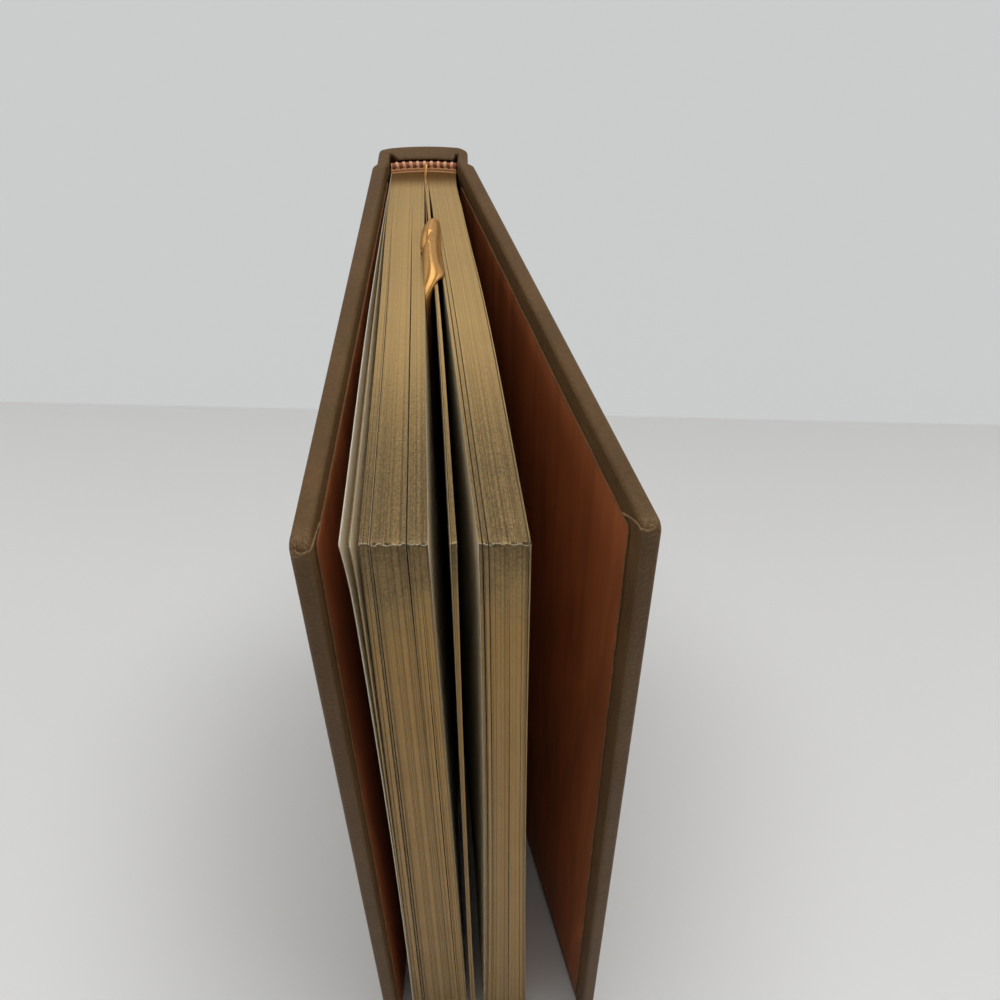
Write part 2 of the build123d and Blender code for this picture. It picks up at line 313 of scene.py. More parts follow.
# The corners are rubbed: their line wanders, and bare paper shows along it. The lines
# beside it lie far enough in to keep the edges flat.
corner_rub = 0.1  # least rub of a corner
corner_wander = 0.5  # how much farther it goes
beside_corner = 0.25
leaf_number = np.arange(leaf_count)
wander = np.interp(leaf_number, leaf_number[::4], rng.uniform(-1, 1, len(leaf_number[::4])))
wander = 0.75 * wander + 0.25 * rng.uniform(-1, 1, leaf_count)
corner_y = fore_y + corner_rub + corner_wander * np.maximum(wander, 0)[:, None]
corner_z = head_z - corner_rub - corner_wander * np.maximum(-wander, 0)[:, None]
bare = rng.uniform(0.06, 0.16, (leaf_count, 1))
flat_y = 2 * corner_y - fore_y + beside_corner
flat_z = 2 * corner_z - head_z - beside_corner
leaf_y[:, :, -1, -1] = corner_y
leaf_z[:, :, -1, -1] = corner_z
leaf_y[:, :, -1, -2] = corner_y - bare * (corner_y - fore_y)
leaf_z[:, :, -1, -2] = corner_z - bare
leaf_y[:, :, -2, -1] = corner_y + bare
leaf_z[:, :, -2, -1] = corner_z + bare * (head_z - corner_z)
leaf_y[:, :, -3, -1] = flat_y
leaf_z[:, :, -1, -3] = flat_z
leaf_points = np.stack((leaf_x, leaf_y, leaf_z), -1)
leaf_quads, leaf_faces = lattice_skin(leaf_x.shape[1:])
points_per_leaf = leaf_x[0].size
corners = (points_per_leaf // 2 - 1, points_per_leaf - 1)  # at the head of the fore edge
leaf_kinds = np.where(leaf_faces < 3, 0, 1)
leaf_kinds[np.isin(leaf_quads, corners).any(1) & (leaf_faces > 2)] = 2


# Cream wove paper, matt, thin enough that light soaks through a single leaf, and darker
# toward the fold
leaf_paper, tree, paper = new_material(
    "cream_wove_paper", Roughness=0.85, Specular_IOR_Level=0.2, Subsurface_Weight=0.4
)
paper.inputs["Subsurface Radius"].default_value = (1, 0.85, 0.65)
paper.inputs["Subsurface Scale"].default_value = 0.8 * MM
place = put(tree, "TexCoord").outputs["Object"]
fibre = noise(tree, place, 1.6, 5)
toned = mixed(tree, fibre, "#dfcfb2", "#f5e8d0")
axes = put(tree, "SeparateXYZ", links={"Vector": place})
toward_fold = ranged(tree, axes.outputs["Y"], -0.09, -0.02, 1, 0.6)
toned = put(tree, "VectorMath", {"operation": "SCALE"}, {"Vector": toned, "Scale": toward_fold})
tree.links.new(toned.outputs[0], paper.inputs["Base Color"])
emboss(tree, paper, (fibre, 0.25, 0.05))

# Paper laid bare at the leaves' corners, where the gold has rubbed off
bare_paper, tree, paper = new_material("rubbed_paper_corner", Roughness=0.9)
place = put(tree, "TexCoord").outputs["Object"]
fray = noise(tree, place, 0.5, 3)
toned = mixed(tree, fray, "#8f7f5c", "#e6dcc2")
tree.links.new(toned, paper.inputs["Base Color"])

# Gold leaf laid on the pressed edges: a soft metal gleam, grained where the paper shows
# through, each leaf a shade apart. The fore edge is painted darker than the head, a
# painted shade; near the head's fore corner it is darker still, partly tarnish and partly a
# painted dim reflection; behind the headbands it is browned, a painted shadow of the
# bands with some glue
gilt_edge, tree, gilt = new_material("gold_leaf_on_edges", Metallic=0.6)
place = put(tree, "TexCoord").outputs["Object"]
axes = put(tree, "SeparateXYZ", links={"Vector": place})
each_leaf = put(tree, "NewGeometry").outputs["Random Per Island"]
grain = noise(tree, place, 0.42, 3, Roughness=0.8)
cloud = noise(tree, place, 9, 3)
smooth = {"interpolation_type": "SMOOTHSTEP"}
# The height at which the tone turns isn't level: it drifts across the leaves and in clouds
drifted = ranged(tree, cloud, 0, 1, -0.011, 0.011)
drifted = reckon(tree, "MULTIPLY_ADD", axes.outputs["X"], -0.3, drifted)
drifted = reckon(tree, "ADD", axes.outputs["Z"], drifted)
near_head = ranged(tree, drifted, 0.171, 0.197, **smooth)
near_fore = ranged(tree, axes.outputs["Y"], -0.07, -0.125, **smooth)
near_back = ranged(tree, axes.outputs["Y"], -0.0155, -0.0085, **smooth)
# Near the head's fore corner the gold is darker: partly tarnish, partly a painted dim reflection
tarnish_and_dim_reflection = reckon(tree, "MULTIPLY", near_head, near_fore)
# The fore edge below the head is painted darker than the head: painted shade
fore_edge_shaded_gold = mixed(tree, near_head, "#a9844a", "#bd9b62")
tarnished_with_dim_reflection = mixed(tree, tarnish_and_dim_reflection, fore_edge_shaded_gold, "#846b41")
# Behind the headbands the gold is browned: a painted shadow of the bands, partly glue
band_shadow_and_glue = mixed(tree, near_back, tarnished_with_dim_reflection, "#6f4b14")
shade = ranged(tree, near_fore, 0, 1, 0.86, 0.5)
leaf_tone = ranged(tree, each_leaf, 0, 0.6, shade, 1.06)
contrast = ranged(tree, tarnish_and_dim_reflection, 0, 1, 0.9, 0.52)
sparkle = ranged(tree, tarnish_and_dim_reflection, 0, 1, 1.08, 1.35)
grain_tone = ranged(tree, grain, 0.38, 0.66, contrast, sparkle)
tone = reckon(tree, "MULTIPLY", leaf_tone, grain_tone)
gold = put(tree, "VectorMath", {"operation": "SCALE"}, {"Vector": band_shadow_and_glue, "Scale": tone})
tree.links.new(gold.outputs[0], gilt.inputs["Base Color"])
polish = ranged(tree, cloud, 0.3, 0.7, 0.38, 0.5)
tree.links.new(polish.outputs[0], gilt.inputs["Roughness"])
emboss(tree, gilt, (grain, 0.5, 0.05))

for name, first, last, body_node in (
    ("front_flyleaf_sheet", 0, 1, "front_flyleaf"),
    ("sewn_leaves", 1, leaf_count - 1, "text_block"),
    ("back_flyleaf_sheet", leaf_count - 1, leaf_count, "back_flyleaf"),
):
    copies = np.arange(last - first)[:, None, None] * points_per_leaf
    leaves = make_piece(
        name,
        leaf_points[first:last],
        (leaf_quads + copies).reshape(-1, 4),
        (leaf_paper, gilt_edge, bare_paper),
        np.tile(leaf_kinds, last - first) * (first > 0),  # the front flyleaf has no gold
    )
    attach(leaves, "book_block")
    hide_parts(body_node)


# Spine lining: a strip of open-weave cotton mull, glued over the folds on the block's
# back to hold them together. The spine's leather hides it.
def dress(name, material):
    """Gives a hidden piece of the CAD model its material."""
    slots = frame["nodes"][name].data.materials
    slots.clear()
    slots.append(material)


# Mull: pale matt threads with shade between them
mull, tree, cloth = new_material("cotton_mull", Roughness=0.9, Specular_IOR_Level=0.1)
place = put(tree, "TexCoord").outputs["Object"]
threads = [
    put(
        tree,
        "TexWave",
        {"bands_direction": axis},
        {"Vector": place, "Scale": 1 / (3 * MM), "Distortion": 0.6},
    )
    for axis in ("X", "Z")
]
weave = reckon(tree, "MAXIMUM", *threads)
toned = mixed(tree, weave, "#9c8c70", "#d8ccb2")
tree.links.new(toned, cloth.inputs["Base Color"])
emboss(tree, cloth, (weave, 0.6, 0.15))
dress("spine_lining", mull)


# Headbands: silk wound round a cord in alternate colours, with a chain of knots and a
# plain core in front of it, sewn down at head and tail of the block's back
band_bow = block_bow - 1.85
band_half = 8.1
band_radius = 1.0
band_hollow = 0.8  # radius between the bright turns
band_pitch = 1.71
band_phase = 7.1  # place of one bright turn
band_slant = 0.12  # how far a turn slants as it winds round the cord
band_thread = 0.25
thread_relief = 0.02
knot_radius = 0.34  # between the knots
knot_swell = 0.22
core_radius = 0.4
tape_height = 10.0  # of the part sewn down behind
tape_thickness = 0.4
tape_margin = 0.3


def tube(line, radii, sides, aside, upright):
    """Points and quads of a tube round a line, closed at both ends by its last rings."""
    turn = np.linspace(0, 2 * pi, sides, endpoint=False)
    aside, upright = (np.broadcast_to(way, line.shape)[:, None] for way in (aside, upright))
    ring = np.cos(turn)[:, None] * aside + np.sin(turn)[:, None] * upright
    radii = np.broadcast_to(radii, (len(line), sides))
    points = line[:, None] + ring * radii[:, :, None]
    ends = np.repeat(line[[0, -1], None], sides, 1)
    points = np.concatenate((ends[:1], points, ends[1:]))
    index = np.arange(points.size // 3).reshape(-1, sides)
    around = np.roll(index, -1, 1)
    quads = np.stack((index[:-1], index[1:], around[1:], around[:-1]), -1).reshape(-1, 4)
    return points.reshape(-1, 3), quads


def silk(name, bright, dark, across):
    """Silk thread; dark is its shade between the turns, across the direction it winds."""
    material, tree, thread = new_material(
        name, Roughness=0.42, Sheen_Weight=0.5, Sheen_Roughness=0.4
    )
    place = put(tree, "TexCoord").outputs["Object"]
    strands = put(
        tree,
        "TexWave",
        {"bands_direction": across},
        {"Vector": place, "Scale": 0.314 / (band_thread * MM), "Distortion": 1.2},
    )
    toned = mixed(tree, strands, dark, bright)
    tree.links.new(toned, thread.inputs["Base Color"])
    emboss(tree, thread, (strands, 0.7, 0.08))
    return material


peach_silk = silk("peach_silk_thread", "#ffdcb4", "#ffb684", "X")
rust_silk = silk("rust_silk_thread", "#cf7240", "#a04f24", "X")
tan_silk = silk("tan_silk_thread", "#d89a60", "#9d6834", "X")
band_x = np.linspace(-band_half, band_half, 325)
turn = np.linspace(0, 2 * pi, 20, endpoint=False)
wave = band_x[:, None] - band_phase + band_slant * np.sin(turn)
wave = np.cos(2 * pi * wave / band_pitch)
wave = (wave - 0.2) / 0.8  # the bright turns are a little narrower than the others
bead_radii = band_hollow + (band_radius - band_hollow) * np.sqrt(np.clip(wave, 0, 1))
bead_radii += thread_relief * np.cos(2 * pi * band_x / band_thread)[:, None]
knotted = np.abs(np.cos(pi * (band_x - band_phase) / band_pitch))[:, None]
knot_radii = knot_radius + knot_swell * knotted
core_radii = np.full((len(band_x), 1), core_radius)

# Which faces of the beads are bright silk: those on the swell of a bright turn
ring_rows = np.repeat(np.arange(len(band_x) + 1), len(turn)) - 1
ring_turns = np.tile(np.arange(len(turn)), len(band_x) + 1)
bright = wave[np.clip(ring_rows, 0, None), ring_turns] > 0.05
for name, seat, out in (("headband", head_z, 1), ("tailband", tail_z, -1)):
    points, quads, kinds, total = [], [], [], 0
    for setback, rise, radii, beaded in (
        (0.4, 0.85, bead_radii, True),
        (1.5, 0.14, knot_radii, False),
        (2.2, -0.2, core_radii, False),
    ):
        y = bow_y(band_bow - setback, band_x)
        line = np.stack((band_x, y, np.full_like(y, seat + out * rise)), 1)
        aside = np.stack((band_x, y - bow_centre, np.zeros_like(y)), 1)
        aside /= np.linalg.norm(aside, axis=1)[:, None]
        ring, ring_quads = tube(line, radii, len(turn), aside, np.array([0, 0, 1.0]))
        points.append(ring)
        quads.append(ring_quads + total)
        total += len(ring)
        kinds.append(np.where(bright, 0, 1) if beaded else np.full(len(ring_quads), 2))
    tape_half = block_half - tape_margin
    tape_x = np.linspace(-tape_half, tape_half, 33)[:, None, None]
    depth = np.array([0, tape_thickness])[None, :, None]
    height = np.array([tape_margin, -tape_height])[None, None, :]
    tape = np.stack(
        np.broadcast_arrays(tape_x, bow_y(block_bow, tape_x) + depth, seat + out * height), -1
    )
    tape_quads = lattice_skin(tape.shape[:3])[0]
    points.append(tape.reshape(-1, 3))
    quads.append(tape_quads + total)
    kinds.append(np.full(len(tape_quads), 2))
    band = make_piece(
        f"{name}_silk",
        np.concatenate(points),
        np.concatenate(quads),
        (peach_silk, rust_silk, tan_silk),
        np.concatenate(kinds),
        crease=70,
    )
    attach(band, "book_block")
    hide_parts(name)


# Ribbon marker: a narrow satin ribbon glued under the headband. It dips into the first
# gap, comes out curled like a half tube with a tuck in it, and goes down the gap again.
ribbon_thickness = 0.16
# A tuck crosses the hump aslant, with a rolled rim beside it
tuck_depth = 2.1
rim_height = 0.25
tuck_start, tuck_end = -39.8, -46.4  # y
tuck_place, tuck_slant, tuck_edge = 0.12, 1.05, 0.16  # in half widths of the ribbon
rim_place, rim_width = 0.26, 0.13
# Each row is a place on the ribbon's crown, half its width there as a vector, how far
# its edges curl down, and where the crown lies between the edges, from -1 to 1
ribbon_route = (
    ((0.52, -3.9, 201.2), (0.38, 0, 0.1), 0.05, 0),
    ((0.55, -6.0, 200.5), (0.32, 0, 0.1), 0.05, 0),
    ((0.6, -8.4, 200.1), (0.25, 0, 0.15), 0.03, 0),
    ((0.68, -10.6, 199.7), (0.16, 0, 0.5), 0.02, 0),
    ((0.8, -13.5, 198.2), (0.08, 0, 1.2), 0, 0),
    ((1.1, -20, 196.4), (0.1, 0, 1.7), 0, 0),
    ((1.6, -28.6, 196.2), (0.1, 0.3, 2.0), 0.1, 0),
    ((2.4, -31.0, 198.8), (0.4, 0.5, 1.5), 0.2, 0),
    ((3.1, -32.2, 200.6), (0.85, 0.7, 0.8), 0.5, 0),
    ((3.4, -33.4, 201.9), (1.4, 0.4, 0.0), 1.0, 0),
    ((3.5, -35.2, 202.5), (1.8, 0.2, -0.2), 1.5, -0.05),
    ((3.55, -37.4, 202.7), (2.05, 0.1, -0.3), 1.7, -0.1),
    ((3.65, -39.8, 202.7), (2.1, 0.1, -0.4), 1.7, -0.2),
    ((3.85, -42.4, 202.7), (2.1, 0.1, -0.5), 1.7, -0.3),
    ((4.1, -46, 202.6), (2.05, 0.1, -0.5), 1.7, -0.3),
    ((4.45, -50.5, 202.3), (2.1, 0.2, -0.5), 1.6, -0.25),
    ((4.8, -54.2, 201.7), (2.2, 0.6, -0.3), 1.2, -0.15),
    ((4.6, -57.2, 200.6), (1.8, 1.3, 0.1), 0.6, 0),
    ((4.0, -59.2, 198.9), (0.8, 1.8, 0.4), 0.3, 0),
    ((3.5, -60.2, 195.5), (0.3, 1.9, 0.2), 0.1, 0),
    ((3.25, -60.6, 188), (0.3, 2.1, 0), 0, 0),
    ((3.2, -61, 160), (0.25, 2.15, 0), 0, 0),
    ((3.3, -61.5, 110), (0.2, 2.15, 0), 0, 0),
    ((3.4, -62, 60), (0.15, 2.15, 0), 0, 0),
    ((3.45, -62, 17), (0.15, 2.15, 0), 0, 0),
)


def through(stations, steps):
    """A smooth line through stations, with a number of steps between each two."""
    stations = np.array(stations, float)
    stations = stations.reshape(len(stations), -1)
    padded = np.concatenate((stations[:1], stations, stations[-1:]))
    t = np.linspace(0, 1, steps, endpoint=False)[:, None]
    spans = [
        hermite(padded[i], (padded[i + 1] - padded[i - 1]) / 2, padded[i + 1],
                (padded[i + 2] - padded[i]) / 2, t, 1)
        for i in range(1, len(padded) - 2)
    ]
    return np.concatenate(spans + [stations[-1:]])


crown, half_widths, curl, crown_at = (through(part, 9) for part in zip(*ribbon_route))
along = np.gradient(crown, axis=0)
face_out = np.cross(along, half_widths)
face_out /= np.linalg.norm(face_out, axis=1)[:, None]
across = np.linspace(-1, 1, 29)
fall = curl * ((across - crown_at) / (1 + np.sign(across - crown_at) * -crown_at)) ** 2
tucked = np.clip((tuck_start - crown[:, 1:2]) / (tuck_start - tuck_end), 0, 1)
under = np.clip((tuck_place - tuck_slant * tucked - across) / tuck_edge, 0, 1)
under = under * under * (3 - 2 * under)
rim = np.exp(-((across - rim_place + tuck_slant * tucked) / rim_width) ** 2)
fall = fall + np.sin(pi * tucked**1.3) * (tuck_depth * under - rim_height * rim)
skin = np.array([
    crown[:, None] + half_widths[:, None] * across[:, None]
    + face_out[:, None] * (level - fall)[:, :, None]
    for level in (0, ribbon_thickness)
])
ribbon_quads = lattice_skin(skin.shape[:3])[0]

# Satin: fine warp threads along the ribbon give it a long silky highlight
satin, tree, weave = new_material(
    "gold_satin_ribbon", Metallic=0.66, Roughness=0.31, Anisotropic=0.8
)
lengthwise = put(tree, "Tangent", {"direction_type": "RADIAL", "axis": "X"})
tree.links.new(lengthwise.outputs[0], weave.inputs["Tangent"])
place = put(tree, "TexCoord").outputs["Object"]
warp = noise(tree, place, 0.5, 3)
toned = mixed(tree, warp, "#c18844", "#dda962")
tree.links.new(toned, weave.inputs["Base Color"])
emboss(tree, weave, (warp, 0.15, 0.05))
ribbon = make_piece("satin_ribbon", skin, ribbon_quads, (satin,), crease=60)
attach(ribbon, "book_block")
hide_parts("ribbon_marker")


# Boards and spine inlay: board pressed from grey pulp in each cover, and stiff manila
# card in the spine. They are wholly wrapped in leather.
def pressed_board(name, light, dark):
    """Board, card or paper pressed from pulp: matt, with flecks of fibre."""
    material, tree, board = new_material(name, Roughness=0.9, Specular_IOR_Level=0.2)
    place = put(tree, "TexCoord").outputs["Object"]
    pulp = noise(tree, place, 1.2, 6)
    toned = mixed(tree, pulp, dark, light)
    tree.links.new(toned, board.inputs["Base Color"])
    emboss(tree, board, (pulp, 0.4, 0.1))
    return material


grey_board = pressed_board("grey_binders_board", "#9b958a", "#7c766b")
manila_card = pressed_board("manila_spine_card", "#c4a97c", "#a58a5e")
for name, stuff in (
    ("front_board", grey_board),
    ("back_board", grey_board),
    ("spine_inlay", manila_card),
):
    dress(name, stuff)


# Spine leather: calf pared thin, glued over the card and turned in at head and tail,
# where it is shaped into a soft cap over the headband
spine_sides = {-1: (11.25, 2.0), 1: (10.9, 3.2)}  # half width, corner's radius: front, back
spine_end_y = -6.8  # where the leather starts to bend round the hinge
cap_half = 8.4
cap_bow = block_bow + 0.6
cap_corner = 0.65
cap_outside_round = 0.8
cap_inside_round = 0.85
cap_lip = 2.7  # how far the cap leans in over the headband
lip_inset = 0.1  # from the cap's side to where the lip starts
lip_fade = 0.5
pinch_depth = 0.12  # how far the head dips where the cap was tied off
pinch_at = 10.0
pinch_reach = 0.9
spine_tail, spine_head = spine_low[2], spine_high[2]
skin_wear = 0.15  # of the spine and the joints
grain_size = 0.7
crease_size = 0.55


def leather(name, light, dark):
    """Fine-grained calf, dyed and waxed: pebbled, faintly mottled, pale where it is rubbed."""
    material, tree, skin = new_material(name, Specular_IOR_Level=0.22)
    place = put(tree, "TexCoord").outputs["Object"]
    wear = put(tree, "Attribute", {"attribute_name": "wear"}).outputs["Fac"]
    pebbles = put(
        tree,
        "TexVoronoi",
        {"feature": "SMOOTH_F1"},
        {"Vector": place, "Scale": 1 / (grain_size * MM), "Smoothness": 0.6},
    )
    pores = noise(tree, place, 0.35, 4, Roughness=0.7)
    mottle = noise(tree, place, 14, 4)
    stretched = put(tree, "Mapping", links={"Vector": place, "Scale": (0.25, 1, 0.6)})
    creases = noise(tree, stretched, crease_size, 2)
    dyed = mixed(tree, mottle, dark, light)
    scuff = ranged(tree, pores, 0.42, 0.62)
    rubbed = reckon(tree, "MULTIPLY", wear, scuff)
    worn = mixed(tree, rubbed, dyed, "#a3855f")
    pore_tone = ranged(tree, pebbles, 0, 0.9, 1.05, 0.82)
    final = put(tree, "VectorMath", {"operation": "SCALE"}, {"Vector": worn, "Scale": pore_tone})
    tree.links.new(final.outputs[0], skin.inputs["Base Color"])
    waxed = ranged(tree, pores, 0.3, 0.7, 0.45, 0.65)
    tree.links.new(waxed.outputs[0], skin.inputs["Roughness"])
    cracked = reckon(tree, "MULTIPLY", creases, wear)
    emboss(tree, skin, (pebbles, 0.75, 0.16), (pores, 0.3, 0.06), (cracked, 0.6, 0.2))
    return material


calf = leather("taupe_calf_leather", "#785834", "#543c1f")


def plan_side(half, radius, corner, low, bow_steps):
    """Plan of half the spine, from its middle to a point low on its side."""
    centre = np.array([half - corner, bow_y(radius - corner, half - corner)])
    lean = atan2(centre[1] - bow_centre, centre[0])
    bow = np.linspace(pi / 2, lean, bow_steps)
    bow = np.stack((radius * np.cos(bow), bow_centre + radius * np.sin(bow)), 1)
    bend = np.linspace(lean, 0, 10)[1:]
    bend = centre + corner * np.stack((np.cos(bend), np.sin(bend)), 1)
    side = np.linspace(bend[-1, 1], low, 8)[1:]
    side = np.stack((np.full_like(side, half), side), 1)
    return np.concatenate((bow, bend, side))


def both_sides(left, right):
    """A whole plan from its two halves, both drawn as right halves."""
    return np.concatenate((left[:0:-1] * (-1, 1), right))


def standing_wall(outer, inner, tail, head, outer_round, inner_round, dips=0, lip=0):
    """Points and quads of a wall between two lines in plan, rounded at head and tail.

    There its inner side may lean in by a lip.
    """
    quarter = np.linspace(0, pi / 2, 7)
    under = np.linspace(0, pi / 2, 4)[1:]
    above = under - under[0]
    face = np.linspace(0, 1, 26)[1:-1]
    zeros, ones = np.zeros_like, np.ones_like
    across, along = 1 - np.cos(quarter), 1 - np.sin(quarter)
    # The loop round the wall: side (1 outer, 0 inner), the round's shares inward and up,
    # the lip's share, and the level
    loop = [
        (ones(quarter), across, along, zeros(quarter), ones(quarter)),
        (zeros(quarter), along, across, np.sin(quarter), ones(quarter)),
        (zeros(under), zeros(under), 1 + np.sin(under), np.cos(under), ones(under)),
        (zeros(face), zeros(face), zeros(face), zeros(face), 1 - face),
        (zeros(under), zeros(under), 1 + np.cos(above), np.sin(above), zeros(under)),
        (zeros(quarter), across, along, np.cos(quarter), zeros(quarter)),
        (ones(quarter), along, across, zeros(quarter), zeros(quarter)),
        (ones(face), zeros(face), zeros(face), zeros(face), face),
    ]
    side, inward, upward, lean, level = (np.concatenate(part) for part in zip(*loop))
    outer_round, inner_round = (np.broadcast_to(r, len(outer)) for r in (outer_round, inner_round))
    thick = np.linalg.norm(outer - inner, axis=1)
    away = (outer - inner) / thick[:, None]
    turned = np.where(side, outer_round[:, None], inner_round[:, None])
    lip = np.broadcast_to(lip, len(outer))[:, None]
    reach = np.where(side, thick[:, None] - turned * inward, turned * inward - lip * lean)
    reach = np.where((level > 0) & (level < 1), side * thick[:, None], reach)
    dips = np.broadcast_to(dips, len(outer))[:, None]
    top = head - dips * (level == 1)
    rise = np.where(level == 1, top - turned * upward, tail + turned * upward)
    between = tail + turned + (head - tail - 2 * turned) * level
    rise = np.where((level > 0) & (level < 1), between, rise)
    plan = inner[:, None] + away[:, None] * reach[:, :, None]
    points = np.concatenate((plan, rise[:, :, None]), -1)
    index = np.arange(points.size // 3).reshape(len(outer), -1)
    around = np.roll(index, -1, 1)
    quads = np.stack((index[:-1], index[1:], around[1:], around[:-1]), -1).reshape(-1, 4)
    return points.reshape(-1, 3), quads


outer_plan = both_sides(*(
    plan_side(half, spine_bow, corner, spine_end_y, 30) for half, corner in spine_sides.values()
))
inner_plan = both_sides(*[plan_side(cap_half, cap_bow, cap_corner, spine_end_y, 30)] * 2)
pinch = pinch_depth * np.exp(-((np.abs(outer_plan[:, 0]) - pinch_at) / pinch_reach) ** 2)
inside_cap = cap_half - lip_inset - np.abs(inner_plan[:, 0])
lip = cap_lip * np.clip(inside_cap / lip_fade, 0, 1)
points, quads = standing_wall(
    outer_plan,
    inner_plan,
    spine_tail,
    spine_head,
    cap_outside_round,
    cap_inside_round,
    dips=pinch,
    lip=lip,
)
wear = np.full(len(points), skin_wear)
spine_skin = make_piece("spine_calf", points, quads, (calf,), wear=wear)
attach(spine_skin, "book_block")
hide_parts("spine_leather")


# Covers: boards wrapped in the same calf. It is drawn over three edges and turned in,
# with a folded corner whose cut edge runs as a worn, pale line over the corner; part of
# its paleness is a painted highlight.
cover_thickness = 3.35
cover_width = 127.8
cover_height = spine_head - spine_tail
cover_corner = 2.2
cover_edge = 0.9
board_start = 2.0  # from the hinge line to the board
face_out_at = 0.45  # outer face beyond the hinge line
cover_fore = board_start + cover_width
cover_middle = face_out_at - cover_thickness / 2
covers = (("front", -1, radians(1.15)), ("back", 1, radians(14.36)))
hinge_place = {joint["child"]: np.array(joint["pos_m"]) / MM for joint in frame["joints"]}


def on_cover(name, side, opening, local):
    """Cover coordinates (toward the fore edge, up, outward) as places in the book."""
    toward_fore = np.array([side * sin(opening), -cos(opening), 0])
    outward = np.array([side * cos(opening), sin(opening), 0])
    axes = np.stack((toward_fore, (0, 0, 1), outward))
    return hinge_place[f"{name}_cover"] + np.asarray(local) @ axes


def round_slab(points, fore, half_height, middle, half_thick, corner, edge):
    """Rounds the points of a slab: its fore corners in plan, and its edges across.

    a, h and o are cover coordinates: toward the fore edge, up and outward.
    """
    a, h, o = np.moveaxis(np.array(points, float), -1, 0)
    o = o - middle
    reach_a = np.maximum(a - (fore - corner), 0)
    reach_h = np.maximum(np.abs(h) - (half_height - corner), 0)
    reach = np.maximum(reach_a, reach_h)
    bent = np.maximum(reach - (corner - edge), 0)
    lift = np.maximum(np.abs(o) - (half_thick - edge), 0)
    share = np.maximum(bent, lift) / np.maximum(np.hypot(bent, lift), 1e-9)
    share = np.where((bent > 0) & (lift > 0), share, 1)
    new_reach = np.where(bent > 0, corner - edge + bent * share, reach)
    o = np.where(lift > 0, np.sign(o) * (half_thick - edge + lift * share), o)
    shrink = new_reach / np.maximum(reach, 1e-9)
    round_corner = reach / np.maximum(np.hypot(reach_a, reach_h), 1e-9)
    shrink = shrink * np.where((reach_a > 0) & (reach_h > 0), round_corner, 1)
    a = np.where(reach_a > 0, fore - corner + reach_a * shrink, a)
    turned_h = np.sign(h) * (half_height - corner + reach_h * shrink)
    h = np.where(reach_h > 0, turned_h, h)
    return np.stack((a, h, o + middle), -1)


def edge_lines(length, edge, corner):
    """Distances in from an edge: close over its round, then wider."""
    fine = np.concatenate((np.linspace(0, edge, 6), np.linspace(edge, corner, 5)[1:]))
    middle = np.arange(corner + 0.45, 9, 0.45)
    return np.concatenate((fine, middle, np.arange(10, length, 2.5)))


half_height = cover_height / 2
half_thick = cover_thickness / 2
cover_shape = (cover_fore, half_height, cover_middle, half_thick, cover_corner, cover_edge)
from_fore = cover_fore - edge_lines(cover_width - 1.5, cover_edge, cover_corner)
lines_a = np.concatenate((from_fore, [board_start]))[::-1]
from_end = half_height - edge_lines(half_height - 1.5, cover_edge, cover_corner)
lines_h = np.concatenate((-from_end, from_end[::-1]))
face_in_at = face_out_at - cover_thickness
lines_o = np.linspace(0, cover_edge, 6)
lines_o = np.concatenate((lines_o, [1.2, 1.5], cover_thickness - lines_o[::-1])) + face_in_at
slab = np.stack(np.meshgrid(lines_a, lines_h, lines_o, indexing="ij"), -1)
slab_quads = lattice_skin(slab.shape[:3])[0]
slab = round_slab(slab, *cover_shape)

# Wear: most at the fore corners, some along the head and tail near them, a little all over
corner_reach = 5
end_reach, end_depth = 15, 2.5
to_fore = cover_fore - slab[..., 0]
to_end = half_height - np.abs(slab[..., 1])
corner_wear = np.clip(1 - np.hypot(to_fore, to_end) / corner_reach, 0, 1)
end_wear = np.clip(1 - to_fore / end_reach, 0, 1) * np.clip(1 - to_end / end_depth, 0, 1)
slab_wear = np.clip(0.55 * corner_wear**1.5 + 0.2 * end_wear + 0.06, 0, 1)

# The cut edge of the corner fold, rubbed to the pale flesh of the leather and painted
# paler still where it catches the light, a painted highlight. Its route runs from under
# the endpaper, over the inner face, and across the fore edge: places from the fore edge,
# from the cover's end, and from the inner face. A nick follows: the same three measures,
# then its radius and depth, then how pale it is rubbed.
raw_edge_and_highlight = leather("rubbed_and_lit_calf_edge", "#a5825c", "#785d40")
fold_radius = 0.25
# The fold's edge is pale partly from wear, partly as a painted highlight
fold_wear_and_highlight = 0.7
corner_folds = {
    "front": (
        ((8.6, 3.7, 0), (4.4, 2.6, 0), (1.6, 1.9, 0), (0.4, 1.6, 0.1), (0, 1.5, 0.5),
         (0, 1.85, 1.2), (0, 1.7, 1.8), (0, 1.2, 2.4)),
        ((0, 2.1, 2.4), 0.7, 0.25, 2.5),
    ),
    "back": (
        ((8.6, 4.9, 0), (4.6, 2.4, 0), (2.0, 1.2, 0), (0.5, 0.8, 0.05), (0, 0.75, 0.5),
         (0, 0.85, 1.2), (0, 0.6, 2.0), (0, 0.1, 2.6)),
        ((0.6, 0, 1.7), 0.55, 0.5, 0.6),
    ),
}
